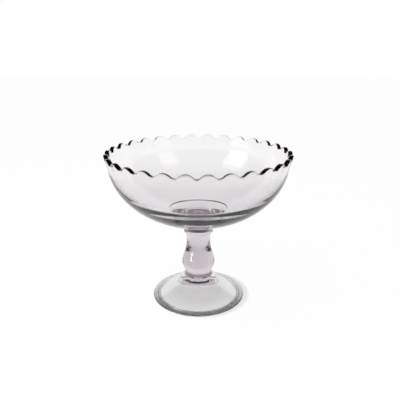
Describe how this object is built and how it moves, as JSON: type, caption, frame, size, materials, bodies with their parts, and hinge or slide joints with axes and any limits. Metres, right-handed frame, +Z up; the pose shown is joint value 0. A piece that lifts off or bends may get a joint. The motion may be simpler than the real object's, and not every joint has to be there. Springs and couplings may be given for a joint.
{
  "type": "compote bowl",
  "caption": "Footed clear lilac glass compote: round bowl with a scalloped flared rim on a baluster stem and a domed hollow foot, for serving fruit or sweets.",
  "frame": {"origin": "centre of the ring under the foot that stands on the table", "axes": "+Z up along the axis of the bowl and stem; +X through a crest of the rim, +Y through a valley"},
  "size_m": [0.2, 0.1992, 0.1705],
  "materials": {
    "lilac_glass": "clear, fire polished"
  },
  "bodies": {
    "root": {"foot": "lilac_glass", "foot_collar": "lilac_glass", "stem": "lilac_glass", "bowl_wafer": "lilac_glass", "bowl": "lilac_glass"}
  },
  "joints": []
}
